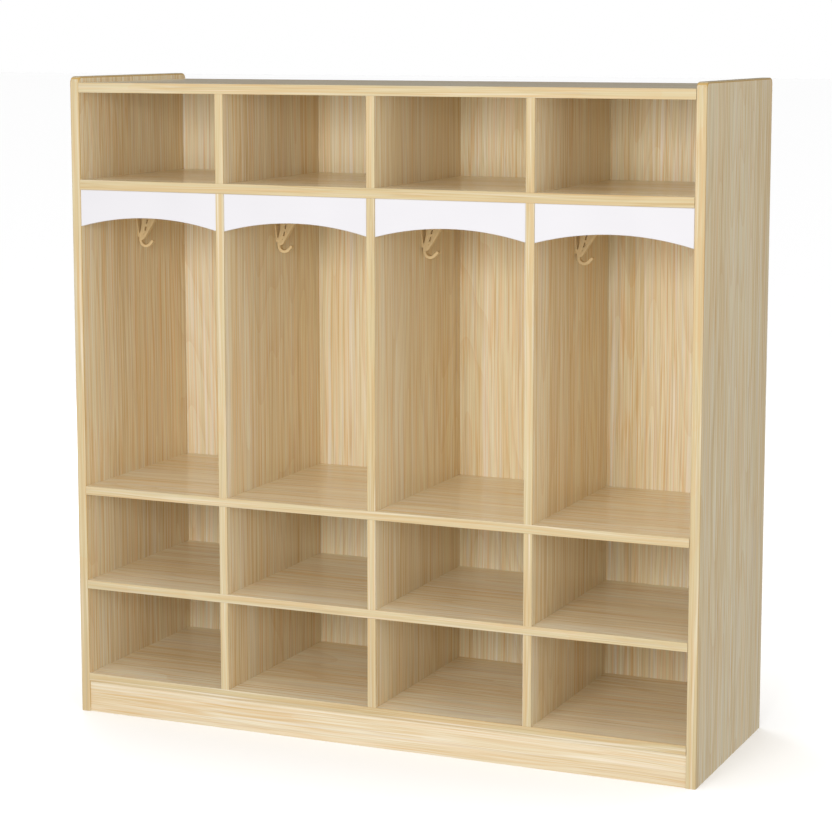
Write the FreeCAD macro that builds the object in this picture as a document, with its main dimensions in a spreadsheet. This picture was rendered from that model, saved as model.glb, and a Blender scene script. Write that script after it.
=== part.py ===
import FreeCAD, Part
import math
import os
import re
import Sketcher
from FreeCAD import Placement, Rotation, Vector

# A four-bay open school locker in melamine-faced board: a row of cubbies at the top, a row of
# coat bays with arched valances and hooks, and two rows of shoe cubbies over a plinth.
# The origin is on the floor under the middle of the unit. X runs to the right, Y to the wall,
# Z up, so the open front faces -Y. All sizes are in millimetres.

os.makedirs("parts", exist_ok=True)
doc = FreeCAD.newDocument("school_locker")

BAYS = 4
SIZES = {
    # the whole unit
    "overall_width": 1200,
    "overall_depth": 400,
    "overall_height": 1185,
    # side panels, with their banding bent round the rounded top corners
    "side_thickness": 18,
    "side_band": 3,
    "side_arris": 2.5,
    "corner_radius": 12,
    "lip_height": 11,
    # horizontal boards and uprights
    "top_thickness": 18,
    "shelf_thickness": 16,
    "divider_thickness": 16,
    "board_band": 2,
    "board_arris": 0.8,
    "hat_clear": 158,
    "upper_shoe_clear": 162,
    "lower_shoe_clear": 162,
    # plinth
    "plinth_height": 58,
    "plinth_thickness": 16,
    "plinth_recess": 3,
    "plinth_back_inset": 12,
    # back panel in its grooves
    "back_thickness": 5,
    "back_inset": 7,
    "groove_depth": 6,
    "groove_play": 0.5,
    # valances
    "valance_thickness": 12,
    "valance_drop": 67,
    "valance_rise": 18.5,
    "valance_recess": 1,
    # wood dowels
    "dowel_radius": 4,
    "dowel_bite": 10,
    "dowel_reach": 20,
    "dowel_chamfer": 1,
    "dowel_from_front": 60,
    "dowel_from_back": 60,
    "plinth_dowel_edge": 16,
    "thin_dowel_radius": 3,
    "thin_dowel_reach": 15,
    "bore_play": 0.1,
    "bore_gap": 1,
    # eccentric fittings at the ends of the horizontal boards
    "cam_radius": 7.5,
    "cam_setback": 34,
    "cam_above_axis": 4.5,
    "cam_from_front": 50,
    "cam_from_back": 50,
    "cam_slot_width": 1.6,
    "cam_slot_length": 10.5,
    "cam_slot_depth": 2,
    "cap_radius": 8.5,
    "cap_thickness": 1.2,
    "cap_chamfer": 1,
    "bolt_thread_radius": 2.5,
    "bolt_thread_length": 11,
    "bolt_shank_radius": 3.2,
    "bolt_neck_radius": 2,
    "bolt_neck_length": 4,
    "bolt_head_length": 4,
    # coat hooks
    "hook_from_front": 210,
    "hook_below_shelf": 122,
    "hook_width": 9,
    "hook_bar": 5.2,
    "hook_arris": 1,
    "hook_standoff": 2.4,
    "hook_throat": 8.6,
    "hook_tip_length": 8.4,
    "hook_bow": 6,
    "hook_stem_top": 24,
    "hook_bow_top": 84,
    "stem_overlap": 1,
    "prong_bar": 3.6,
    "prong_root": 16,
    "prong_foot_drop": 2,
    "prong_foot_rise": 1.6,
    "prong_foot_reach": 5.4,
    "prong_reach": 48,
    "prong_top": 74,
    "web_foot_reach": 4,
    "crotch_radius": 20,
    "rib_set_in": 0.5,
    "pocket_width": 3,
    "pocket_length": 8,
    "pocket_pitch": 13.5,
    "pocket_depth": 6.5,
    "pocket_rise": 2.4,
    "pocket_set_in": 1.9,
    "plate_thickness": 3,
    "plate_foot_width": 9,
    "plate_width": 30,
    "plate_foot": 20,
    "plate_shoulder": 64,
    "plate_top": 90,
    "plate_corner": 8,
    # screws
    "hook_screw_spacing": 18,
    "hook_screw_level": 74,
    "hook_screw_radius": 1.75,
    "hook_screw_head_radius": 3.5,
    "hook_screw_length": 15,
    "back_screw_radius": 1.5,
    "back_screw_head_radius": 3.2,
    "back_screw_head_height": 1.8,
    "back_screw_length": 20,
    "screw_tip": 3,
    "recess_width": 1,
    "recess_span": 3.2,
    "recess_depth": 1,
}

sheet = doc.addObject("Spreadsheet::Sheet", "Sizes")
for row, (alias, value) in enumerate(SIZES.items(), start=1):
    sheet.set(f"A{row}", alias)
    sheet.set(f"B{row}", str(value))
    sheet.setAlias(f"B{row}", alias)
doc.recompute()

# Distances that several pieces share, as expressions in the sheet's sizes.
INNER_WIDTH = "(overall_width - 2 * side_thickness)"
INNER_LEFT = f"(-{INNER_WIDTH} / 2)"
BAY_WIDTH = f"(({INNER_WIDTH} - {BAYS - 1} * divider_thickness) / {BAYS})"
FRONT = "(-overall_depth / 2)"
BACK_FACE = "(overall_depth - back_inset - back_thickness)"
SHELF_DEPTH = f"({BACK_FACE} - board_band)"
DOWEL_BORE = "(dowel_radius + bore_play)"

# Undersides of the horizontal boards, above the floor. The coat bays take what height is left.
BOTTOM = "plinth_height"
SHOE = f"({BOTTOM} + shelf_thickness + lower_shoe_clear)"
BAG = f"({SHOE} + shelf_thickness + upper_shoe_clear)"
TOP = "(overall_height - lip_height - top_thickness)"
HAT = f"({TOP} - hat_clear - top_thickness)"

# Distances behind the front of the unit of the fittings in each horizontal board's ends.
CAM_ROWS = ["cam_from_front", f"({BACK_FACE} - cam_from_back)"]
END_DOWEL = f"((cam_from_front + {BACK_FACE} - cam_from_back) / 2)"
DIVIDER_DOWELS = ["dowel_from_front", f"({BACK_FACE} - dowel_from_back)"]

# Two fixings share a bay's width a quarter of it from each end. A fillet takes at most this much
# of a band's thickness. A pocket has to cut at least this much of what its sizes promise.
QUARTERS = (0.25, 0.75)
ARRIS_SHARE = 0.9
LEAST_CUT = 0.4

# Each horizontal board: name, underside, thickness, and whether it runs back to the wall.
BOARDS = [
    ("bottom_board", BOTTOM, "shelf_thickness", True),
    ("shoe_shelf", SHOE, "shelf_thickness", False),
    ("bag_shelf", BAG, "shelf_thickness", False),
    ("hat_shelf", HAT, "top_thickness", False),
    ("top_board", TOP, "top_thickness", True),
]


def spelled(expression):
    """An expression with every alias written the way the document reads it."""
    return re.sub(r"[a-z_]+", lambda word: "Sizes." * (word[0] in SIZES) + word[0], expression)


def number(expression):
    """The present value of an expression in the sheet's sizes."""
    return float(sheet.evalExpression(spelled(expression)))


def bay_left(bay):
    """The left side of the space inside a bay, counted from 0, from the middle of the unit."""
    return f"({INNER_LEFT} + {bay} * ({BAY_WIDTH} + divider_thickness))"


def divider_left(divider):
    """The left face of an upright, counted from 0, from the middle of the unit."""
    return f"({bay_left(divider)} + {BAY_WIDTH})"


# ---- how sketches and features are made ----

def new_body(name, at=("0", "0", "0")):
    """A body whose place is bound to the sheet."""
    body = doc.addObject("PartDesign::Body", name)
    body.Label = name
    for axis, place in zip("xyz", at):
        body.setExpression(f"Placement.Base.{axis}", spelled(place))
    return body


def origin_feature(body, role):
    return next(item for item in body.Origin.OriginFeatures if item.Role == role)


def new_sketch(body, name, role, lift="0"):
    """A sketch on one of the body's planes, lifted along the plane's normal."""
    sketch = body.newObject("Sketcher::SketchObject", name)
    sketch.AttachmentSupport = (origin_feature(body, role), [""])
    sketch.MapMode = "FlatFace"
    sketch.setExpression("AttachmentOffset.Base.z", spelled(lift))
    return sketch


def bind(sketch, kind, name, expression, *ends):
    """One dimension of a sketch, bound to the sheet."""
    index = sketch.addConstraint(Sketcher.Constraint(kind, *ends, number(expression)))
    sketch.renameConstraint(index, name)
    sketch.setExpression("Constraints." + name, spelled(expression))


def arc_between(start, end, radius, turn):
    """The short arc from start to end, with its centre on the left (turn 1) or right (-1)."""
    chord = end - start
    height = math.sqrt(max(radius ** 2 - chord.Length ** 2 / 4, 0))
    side = Vector(-chord.y, chord.x, 0).normalize()
    centre = (start + end) / 2 + side * height * turn
    first, last = (start, end) if turn > 0 else (end, start)
    angles = [math.atan2(point.y - centre.y, point.x - centre.x) for point in (first, last)]
    if angles[1] < angles[0]:
        angles[1] += 2 * math.pi
    return Part.ArcOfCircle(Part.Circle(centre, Vector(0, 0, 1), radius), *angles)


def outline(sketch, tag, corners):
    """A closed outline. A corner is (x, y), or (x, y, radius, turn) where an arc starts."""
    points = [Vector(number(corner[0]), number(corner[1]), 0) for corner in corners]
    sides = []
    for index, corner in enumerate(corners):
        start, end = points[index], points[(index + 1) % len(points)]
        if len(corner) == 2:
            piece, ends = Part.LineSegment(start, end), (1, 2)
        else:
            piece = arc_between(start, end, number(corner[2]), corner[3])
            ends = (1, 2) if corner[3] > 0 else (2, 1)
        sides.append((sketch.addGeometry(piece, False), *ends))
    for index, corner in enumerate(corners):
        side, first, last = sides[index]
        following, joined, _ = sides[(index + 1) % len(sides)]
        sketch.addConstraint(Sketcher.Constraint("Coincident", side, last, following, joined))
        bind(sketch, "DistanceX", f"{tag}_x{index}", corner[0], -1, 1, side, first)
        bind(sketch, "DistanceY", f"{tag}_y{index}", corner[1], -1, 1, side, first)
        if len(corner) > 2:
            bind(sketch, "Radius", f"{tag}_radius{index}", corner[2], side)


def rectangle(sketch, tag, left, low, right, high):
    outline(sketch, tag, [(left, low), (right, low), (right, high), (left, high)])


def extrude(body, kind, name, sketch, length, reverse=False, midplane=False):
    """A pad or a pocket. reverse turns a pad against the sketch's normal, a pocket along it."""
    feature = body.newObject("PartDesign::" + kind, name)
    feature.Profile = sketch
    feature.setExpression("Length", spelled(length))
    feature.Reversed = reverse
    feature.Midplane = midplane
    doc.recompute()
    return feature


def pocket(body, name, sketch, length, reverse, expected):
    """A pocket, stopped if it doesn't take away most of what it should."""
    before = body.Shape.Volume
    feature = extrude(body, "Pocket", name, sketch, length, reverse)
    if before - feature.Shape.Volume < LEAST_CUT * expected:
        raise RuntimeError(f"{name} cuts too little")


def drill(body, name, role, spots, radius, depth, lift="0", reverse=False):
    """Equal round holes in one face of a board, at spots in the sketch's plane."""
    doc.recompute()
    sketch = new_sketch(body, f"{body.Name}_{name}_places", role, lift)
    for index, (across, along) in enumerate(spots):
        middle = Vector(number(across), number(along), 0)
        circle = Part.Circle(middle, Vector(0, 0, 1), number(radius))
        hole = sketch.addGeometry(circle, False)
        bind(sketch, "DistanceX", f"x{index}", across, -1, 1, hole, 3)
        bind(sketch, "DistanceY", f"y{index}", along, -1, 1, hole, 3)
        bind(sketch, "Radius", f"radius{index}", radius, hole)
    expected = len(spots) * math.pi * number(radius) ** 2 * number(depth)
    pocket(body, f"{body.Name}_{name}", sketch, depth, reverse, expected)


def board(name, role, across, along, thickness, at, reverse=False):
    """A plain rectangular board, sketched on its broad face."""
    body = new_body(name, at)
    sketch = new_sketch(body, name + "_face", role)
    rectangle(sketch, "face", "0", "0", across, along)
    extrude(body, "Pad", name + "_pad", sketch, thickness, reverse)
    return body


def round_edges(body, name, radius, chosen):
    """A fillet on the edges that chosen picks."""
    base = body.Tip
    edges = [f"Edge{n}" for n, edge in enumerate(base.Shape.Edges, start=1) if chosen(edge)]
    feature = body.newObject("PartDesign::Fillet", name)
    feature.Base = (base, edges)
    feature.setExpression("Radius", spelled(radius))
    doc.recompute()


def turned(name, profile):
    """A solid of revolution about the X axis, from (distance along the axis, radius) corners."""
    body = new_body(name)
    sketch = new_sketch(body, name + "_profile", "XY_Plane")
    outline(sketch, "profile", profile)
    feature = body.newObject("PartDesign::Revolution", name + "_turning")
    feature.Profile = sketch
    feature.ReferenceAxis = (origin_feature(body, "X_Axis"), [""])
    feature.Angle = 360
    doc.recompute()
    return body


def group(name, placed):
    """One node of like pieces: each is a made shape with its own place."""
    shapes = []
    for body, place in placed:
        shape = body.Tip.Shape.copy()
        shape.Placement = place
        shapes.append(shape)
    feature = doc.addObject("Part::Feature", name)
    feature.Label = name
    feature.Shape = Part.makeCompound(shapes)
    feature.Placement = Placement()
    return feature


def at_point(across, along, up, direction=Vector(1, 0, 0)):
    """A place for a turned piece, with its axis along a direction."""
    point = Vector(number(across), number(along), number(up))
    return Placement(point, Rotation(Vector(1, 0, 0), direction))


sub_parts = []
RIGHT, LEFT = Vector(1, 0, 0), Vector(-1, 0, 0)
UP, BACKWARD, FORWARD = Vector(0, 0, 1), Vector(0, 1, 0), Vector(0, -1, 0)


# ---- side panels ----
# Each panel's core stands inside a thick band that runs up the front edge, over the top and
# down the back edge. The inner face carries the bores of every board that ends there.

CORE_RADIUS = "(corner_radius - side_band)"
CORE_TOP = "(overall_height - side_band)"
CORE_BACK = "(overall_depth - side_band)"
SIDE_ARRIS = f"min(side_arris; {ARRIS_SHARE} * side_band)"
BOARD_ARRIS = f"min(board_arris; {ARRIS_SHARE} * board_band)"
PLINTH_FRONT_AXIS = "(plinth_recess + plinth_thickness / 2)"
PLINTH_BACK_AXIS = "(overall_depth - plinth_back_inset - plinth_thickness / 2)"
PLINTH_DOWEL_LEVELS = ["plinth_dowel_edge", "(plinth_height - plinth_dowel_edge)"]
HOOK_FOOT = f"({HAT} - hook_below_shelf)"
HOOK_SCREWS = [f"(hook_from_front {side} hook_screw_spacing / 2)" for side in "-+"]


def side_core_corners():
    return [
        ("side_band", "0"),
        (CORE_BACK, "0"),
        (CORE_BACK, f"{CORE_TOP} - {CORE_RADIUS}", CORE_RADIUS, 1),
        (f"{CORE_BACK} - {CORE_RADIUS}", CORE_TOP),
        (f"side_band + {CORE_RADIUS}", CORE_TOP, CORE_RADIUS, 1),
        ("side_band", f"{CORE_TOP} - {CORE_RADIUS}"),
    ]


def side_band_corners():
    return [
        ("0", "0"),
        ("side_band", "0"),
        ("side_band", f"{CORE_TOP} - {CORE_RADIUS}", CORE_RADIUS, -1),
        (f"side_band + {CORE_RADIUS}", CORE_TOP),
        (f"{CORE_BACK} - {CORE_RADIUS}", CORE_TOP, CORE_RADIUS, -1),
        (CORE_BACK, f"{CORE_TOP} - {CORE_RADIUS}"),
        (CORE_BACK, "0"),
        ("overall_depth", "0"),
        ("overall_depth", "overall_height - corner_radius", "corner_radius", 1),
        ("overall_depth - corner_radius", "overall_height"),
        ("corner_radius", "overall_height", "corner_radius", 1),
        ("0", "overall_height - corner_radius"),
    ]


def on_outer_contour(edge):
    """Whether an edge of a side band lies along its outer face."""
    box = edge.BoundBox
    if box.XLength > 1e-6:
        return False
    if edge.Curve.TypeId == "Part::GeomCircle":
        return abs(edge.Curve.Radius - number("corner_radius")) < 1e-6
    front, back = box.YMax < 1e-6, box.YMin > number("overall_depth") - 1e-6
    return front or back or box.ZMin > number("overall_height") - 1e-6


def side_panel(hand, left, inner_face, from_outside):
    """A side panel and its band. inner_face lifts the sketches onto the panel's inner face."""
    name = f"{hand}_side_panel"
    at = (left, FRONT, "0")
    body = new_body(name, at)
    sketch = new_sketch(body, name + "_face", "YZ_Plane")
    outline(sketch, "face", side_core_corners())
    extrude(body, "Pad", name + "_pad", sketch, "side_thickness")

    groove = new_sketch(body, name + "_groove_face", "YZ_Plane", inner_face)
    low, high = f"{BOTTOM} + shelf_thickness - groove_depth", f"{TOP} + groove_depth"
    rectangle(groove, "groove", BACK_FACE, low, f"{BACK_FACE} + back_thickness", high)
    size = number(f"({high} - ({low})) * back_thickness * groove_depth")
    pocket(body, name + "_groove", groove, "groove_depth", from_outside, size)

    bolts, dowels = [], []
    for _, level, thickness, _ in BOARDS:
        axis = f"({level} + {thickness} / 2)"
        bolts += [(row, axis) for row in CAM_ROWS]
        dowels.append((END_DOWEL, axis))
    for axis in (PLINTH_FRONT_AXIS, PLINTH_BACK_AXIS):
        dowels += [(axis, level) for level in PLINTH_DOWEL_LEVELS]
    thread = "(bolt_thread_radius + bore_play)"
    thread_depth = "(bolt_thread_length + bore_gap)"
    dowel_depth = "(dowel_bite + bore_gap)"
    face = {"lift": inner_face, "reverse": from_outside}
    drill(body, "bolt_holes", "YZ_Plane", bolts, thread, thread_depth, **face)
    drill(body, "dowel_holes", "YZ_Plane", dowels, DOWEL_BORE, dowel_depth, **face)

    band = new_body(f"{hand}_side_edge_band", at)
    sketch = new_sketch(band, f"{hand}_side_band_face", "YZ_Plane")
    outline(sketch, "band", side_band_corners())
    extrude(band, "Pad", f"{hand}_side_band_pad", sketch, "side_thickness")
    round_edges(band, f"{hand}_side_band_arris", SIDE_ARRIS, on_outer_contour)
    sub_parts.extend([body, band])
    return body


def hook_pilots(body, wall, set_back, level):
    """Pilot holes for one coat hook's screws. wall lifts them onto the face that the hook stands
    on, and the board starts set_back behind the front of the unit and level above the floor."""
    spots = [(f"({row} - {set_back})", f"({HOOK_FOOT} + hook_screw_level - {level})")
             for row in HOOK_SCREWS]
    radius = "(hook_screw_radius + bore_play)"
    depth = "(hook_screw_length - plate_thickness + bore_gap)"
    drill(body, "hook_pilots", "YZ_Plane", spots, radius, depth, lift=wall)


left_panel = side_panel("left", "-overall_width / 2", "side_thickness", False)
side_panel("right", "overall_width / 2 - side_thickness", "0", True)
hook_pilots(left_panel, "side_thickness", "0", "0")


# ---- horizontal boards ----
# Five boards run from side to side. Their front edges are banded, their ends are bored for the
# cam bolts and dowels, and the cams drop in from below.

def end_bores(body, thickness):
    rows = [f"({row} - board_band)" for row in CAM_ROWS]
    axis = f"{thickness} / 2"
    bolts = [(row, axis) for row in rows]
    dowel = [(f"({END_DOWEL} - board_band)", axis)]
    shank = "(bolt_shank_radius + bore_play)"
    reach = "(dowel_reach + bore_gap)"
    for end, lift, reverse in (("left", "0", True), ("right", INNER_WIDTH, False)):
        face = {"lift": lift, "reverse": reverse}
        drill(body, end + "_bolt_bores", "YZ_Plane", bolts, shank, "cam_setback", **face)
        drill(body, end + "_dowel_bore", "YZ_Plane", dowel, DOWEL_BORE, reach, **face)
    columns = ["cam_setback", f"({INNER_WIDTH} - cam_setback)"]
    cams = [(column, row) for column in columns for row in rows]
    depth = f"({thickness} / 2 + cam_above_axis)"
    drill(body, "cam_bores", "XY_Plane", cams, "cam_radius", depth, reverse=True)


def divider_bores(body, thickness, underside, topside):
    """Dowel holes for the uprights below and above a horizontal board."""
    columns = [f"({divider_left(n)} - {INNER_LEFT} + divider_thickness / 2)"
               for n in range(BAYS - 1)]
    spots = [(column, f"({row} - board_band)") for column in columns for row in DIVIDER_DOWELS]
    blind = "(dowel_bite + bore_gap)"
    if underside and topside:
        drill(body, "dowel_bores", "XY_Plane", spots, DOWEL_BORE, thickness, reverse=True)
    elif underside:
        drill(body, "dowel_bores", "XY_Plane", spots, DOWEL_BORE, blind, reverse=True)
    else:
        drill(body, "dowel_bores", "XY_Plane", spots, DOWEL_BORE, blind, lift=thickness)


# From the left end of a shelf: the valance dowels in front and the back panel's screws behind.
QUARTER_COLUMNS = [f"({bay_left(bay)} - {INNER_LEFT} + {share} * {BAY_WIDTH})"
                   for bay in range(BAYS) for share in QUARTERS]
VALANCE_AXIS = "(valance_recess + valance_thickness / 2)"

for name, level, thickness, to_the_wall in BOARDS:
    depth = "(overall_depth - board_band)" if to_the_wall else SHELF_DEPTH
    at = (INNER_LEFT, f"{FRONT} + board_band", level)
    body = board(name, "XY_Plane", INNER_WIDTH, depth, thickness, at)
    end_bores(body, thickness)
    divider_bores(body, thickness, name != "bottom_board", name != "top_board")
    if to_the_wall:
        upward = name == "bottom_board"
        groove = new_sketch(body, name + "_groove_face", "XY_Plane", thickness if upward else "0")
        near = f"({BACK_FACE} - board_band)"
        rectangle(groove, "groove", "0", near, INNER_WIDTH, f"{near} + back_thickness")
        size = number(f"{INNER_WIDTH} * back_thickness * groove_depth")
        pocket(body, name + "_groove", groove, "groove_depth", not upward, size)
    else:
        spots = [(column, f"{thickness} / 2") for column in QUARTER_COLUMNS]
        radius = "(back_screw_radius + bore_play)"
        bite = "(back_screw_length - back_thickness + bore_gap)"
        drill(body, "back_pilots", "XZ_Plane", spots, radius, bite, f"-{SHELF_DEPTH}", True)
    if name == "hat_shelf":
        spots = [(column, f"({VALANCE_AXIS} - board_band)") for column in QUARTER_COLUMNS]
        radius = "(thin_dowel_radius + bore_play)"
        bite = "(dowel_bite + bore_gap)"
        drill(body, "valance_bores", "XY_Plane", spots, radius, bite, reverse=True)

    band = new_body(name + "_edge_band", (INNER_LEFT, FRONT, level))
    sketch = new_sketch(band, name + "_band_section", "YZ_Plane")
    rectangle(sketch, "band", "0", "0", "board_band", thickness)
    extrude(band, "Pad", name + "_band_pad", sketch, INNER_WIDTH)
    round_edges(band, name + "_band_arris", BOARD_ARRIS,
                lambda edge: edge.BoundBox.YMax < 1e-6 and edge.BoundBox.ZLength < 1e-6)
    sub_parts.extend([body, band])


# ---- uprights ----
# Three uprights stand between each pair of horizontal boards, dowelled above and below.

DIVIDER_ROWS = [
    ("lower_shoe_divider", f"({BOTTOM} + shelf_thickness)", "lower_shoe_clear"),
    ("upper_shoe_divider", f"({SHOE} + shelf_thickness)", "upper_shoe_clear"),
    ("bay_divider", f"({BAG} + shelf_thickness)", f"({HAT} - {BAG} - shelf_thickness)"),
    ("top_divider", f"({HAT} + top_thickness)", "hat_clear"),
]

for row_name, level, height in DIVIDER_ROWS:
    ends = [("divider_thickness / 2", f"({row} - board_band)") for row in DIVIDER_DOWELS]
    reach = "(dowel_reach + bore_gap)"
    for index in range(BAYS - 1):
        at = (divider_left(index), f"{FRONT} + board_band", level)
        name = f"{row_name}_{index + 1}"
        body = board(name, "YZ_Plane", SHELF_DEPTH, height, "divider_thickness", at)
        drill(body, "foot_bores", "XY_Plane", ends, DOWEL_BORE, reach, reverse=True)
        drill(body, "head_bores", "XY_Plane", ends, DOWEL_BORE, reach, lift=height)
        if row_name == "bay_divider":
            hook_pilots(body, "divider_thickness", "board_band", level)
        sub_parts.append(body)
    bands = new_body(row_name + "_edge_bands", ("0", FRONT, level))
    sketch = new_sketch(bands, row_name + "_band_sections", "XY_Plane")
    for index in range(BAYS - 1):
        left = divider_left(index)
        rectangle(sketch, f"band{index}", left, "0", f"{left} + divider_thickness", "board_band")
    extrude(bands, "Pad", row_name + "_band_pad", sketch, height)
    round_edges(bands, row_name + "_band_arris", BOARD_ARRIS,
                lambda edge: edge.BoundBox.YMax < 1e-6 and edge.BoundBox.XLength < 1e-6)
    sub_parts.append(bands)


# ---- plinth ----
# A kickboard set back under the bottom board, a rail behind it and one brace between them.

plinth_levels = {"plinth_front": "plinth_recess",
                 "plinth_back": "(overall_depth - plinth_back_inset - plinth_thickness)"}
plinth_size = (INNER_WIDTH, "plinth_height", "plinth_thickness")
brace_bores = [(f"{INNER_WIDTH} / 2", level) for level in PLINTH_DOWEL_LEVELS]
for name, from_front in plinth_levels.items():
    at = (INNER_LEFT, f"{FRONT} + {from_front}", "0")
    body = board(name, "XZ_Plane", *plinth_size, at, reverse=True)
    ends = [("plinth_thickness / 2", level) for level in PLINTH_DOWEL_LEVELS]
    reach = "(dowel_reach + bore_gap)"
    drill(body, "left_bores", "YZ_Plane", ends, DOWEL_BORE, reach, reverse=True)
    drill(body, "right_bores", "YZ_Plane", ends, DOWEL_BORE, reach, lift=INNER_WIDTH)
    behind = name == "plinth_front"
    drill(body, "brace_bores", "XZ_Plane", brace_bores, DOWEL_BORE, "(dowel_bite + bore_gap)",
          lift="-plinth_thickness" if behind else "0", reverse=behind)
    sub_parts.append(body)

BRACE_FRONT = "(plinth_recess + plinth_thickness)"
BRACE_LENGTH = f"({plinth_levels['plinth_back']} - {BRACE_FRONT})"
brace = board("plinth_brace", "YZ_Plane", BRACE_LENGTH, "plinth_height", "plinth_thickness",
              ("-plinth_thickness / 2", f"{FRONT} + {BRACE_FRONT}", "0"))
ends = [("plinth_thickness / 2", level) for level in PLINTH_DOWEL_LEVELS]
reach = "(dowel_reach + bore_gap)"
drill(brace, "front_bores", "XZ_Plane", ends, DOWEL_BORE, reach)
drill(brace, "back_bores", "XZ_Plane", ends, DOWEL_BORE, reach, f"-{BRACE_LENGTH}", True)
sub_parts.append(brace)


# ---- back panel ----
# One thin sheet, held in grooves all round and screwed to the edges of the shelves.

TONGUE = "(groove_depth - groove_play)"
PANEL_FOOT = f"({BOTTOM} + shelf_thickness - {TONGUE})"
back_panel = board("back_panel", "XZ_Plane", f"({INNER_WIDTH} + 2 * {TONGUE})",
                   f"({TOP} + {TONGUE} - {PANEL_FOOT})", "back_thickness",
                   (f"{INNER_LEFT} - {TONGUE}", f"{FRONT} + {BACK_FACE}", PANEL_FOOT),
                   reverse=True)
back_screw_places = [
    (column, f"({level} + {thickness} / 2)")
    for _, level, thickness, to_the_wall in BOARDS if not to_the_wall
    for column in QUARTER_COLUMNS
]
drill(back_panel, "screw_holes", "XZ_Plane",
      [(f"({column} + {TONGUE})", f"({level} - {PANEL_FOOT})")
       for column, level in back_screw_places],
      "(back_screw_radius + bore_play)", "back_thickness")
sub_parts.append(back_panel)


# ---- valances ----
# A white board with an arched lower edge closes the top of each coat bay.

ARCH_RADIUS = f"(({BAY_WIDTH} ^ 2 / 4 + valance_rise ^ 2) / (2 * valance_rise))"
for bay in range(BAYS):
    name = f"valance_{bay + 1}"
    body = new_body(name, (bay_left(bay), f"{FRONT} + valance_recess", f"{HAT} - valance_drop"))
    sketch = new_sketch(body, name + "_face", "XZ_Plane")
    outline(sketch, "face", [("0", "0", ARCH_RADIUS, -1), (BAY_WIDTH, "0"),
                             (BAY_WIDTH, "valance_drop"), ("0", "valance_drop")])
    extrude(body, "Pad", name + "_pad", sketch, "valance_thickness", reverse=True)
    spots = [(f"{share} * {BAY_WIDTH}", "valance_thickness / 2") for share in QUARTERS]
    drill(body, "dowel_bores", "XY_Plane", spots, "(thin_dowel_radius + bore_play)",
          "(thin_dowel_reach + bore_gap)", lift="valance_drop")
    sub_parts.append(body)


# ---- coat hooks ----
# One moulding to a bay: a shield-shaped plate on the bay's left wall, a bar that bows off the
# plate and drops into a J, and a cored-out prong that leans outward from the bar. In the hook's
# own frame X runs off the wall and Z up from the lowest point of the J.

SLANT = math.sqrt(0.5)
# The rounded tips' radii, as shares of their bars' thickness, and how far the core-outs lean.
J_TIP_SHARE = 0.55
PRONG_TIP_SHARE = 0.72
POCKET_LEAN = 0.25
POCKETS = 3
OUTER = "(hook_throat + hook_bar)"
J_MIDDLE = f"(hook_standoff + {OUTER})"
STEM_FACE = "(hook_standoff + hook_bar)"
STEM_BITE = f"({STEM_FACE} - stem_overlap)"
HOOK_HEAD_DEPTH = "(hook_screw_head_radius - hook_screw_radius)"
BOW_CHORD = "(hook_bow_top - hook_stem_top)"
BOW_RADIUS = f"(({BOW_CHORD} ^ 2 / 4 + hook_bow ^ 2) / (2 * hook_bow))"


def bar_corners():
    """The bar's side view: down off the plate in a bow, round the J and back up inside."""
    run = f"{SLANT} * hook_tip_length"
    foot_x, foot_z = f"{J_MIDDLE} + {SLANT} * {OUTER}", f"{OUTER} - {SLANT} * {OUTER}"
    inner_x, inner_z = f"{J_MIDDLE} + {SLANT} * hook_throat", f"{OUTER} - {SLANT} * hook_throat"
    return [
        ("hook_standoff", "hook_bow_top", BOW_RADIUS, -1),
        ("hook_standoff", "hook_stem_top"),
        ("hook_standoff", OUTER, OUTER, 1),
        (foot_x, foot_z),
        (f"{foot_x} + {run}", f"{foot_z} + {run}", f"{J_TIP_SHARE} * hook_bar", 1),
        (f"{inner_x} + {run}", f"{inner_z} + {run}"),
        (inner_x, inner_z, "hook_throat", -1),
        (STEM_FACE, OUTER),
        (STEM_FACE, "hook_stem_top", BOW_RADIUS, 1),
        (STEM_FACE, "hook_bow_top"),
    ]


def prong_corners():
    """The prong's outer bar, from the stem's face to its rounded tip."""
    return [
        (STEM_BITE, "prong_root - prong_foot_drop"),
        (f"{STEM_FACE} + prong_foot_reach", "prong_root"),
        ("prong_reach", "prong_top - prong_bar", f"{PRONG_TIP_SHARE} * prong_bar", 1),
        ("prong_reach - prong_bar", "prong_top"),
        (STEM_BITE, "prong_root + prong_foot_rise"),
    ]


def web_corners():
    """The body of the prong between the bowed bar and its outer bar, with a hollow top."""
    return [
        (STEM_BITE, "prong_root - prong_foot_drop / 2"),
        (f"{STEM_FACE} + web_foot_reach", "prong_root + prong_foot_drop / 2"),
        ("prong_reach - 2 * prong_bar", "prong_top - 3 * prong_bar", "crotch_radius", -1),
        (f"{STEM_FACE} + hook_bow / 2", "prong_top - prong_bar"),
        (f"{STEM_BITE} + hook_bow", "(hook_stem_top + hook_bow_top) / 2"),
        (STEM_BITE, "hook_stem_top + prong_foot_drop"),
    ]


def pocket_corners(index):
    """One leaning core-out in the prong's side."""
    low = f"(prong_root + pocket_rise + {index} * pocket_pitch)"
    left = f"({STEM_FACE} + pocket_set_in + {POCKET_LEAN} * ({low} - prong_root))"
    shift = f"{POCKET_LEAN} * pocket_length"
    return [(left, low), (f"{left} + pocket_width", low),
            (f"{left} + pocket_width + {shift}", f"{low} + pocket_length"),
            (f"{left} + {shift}", f"{low} + pocket_length")]


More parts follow.
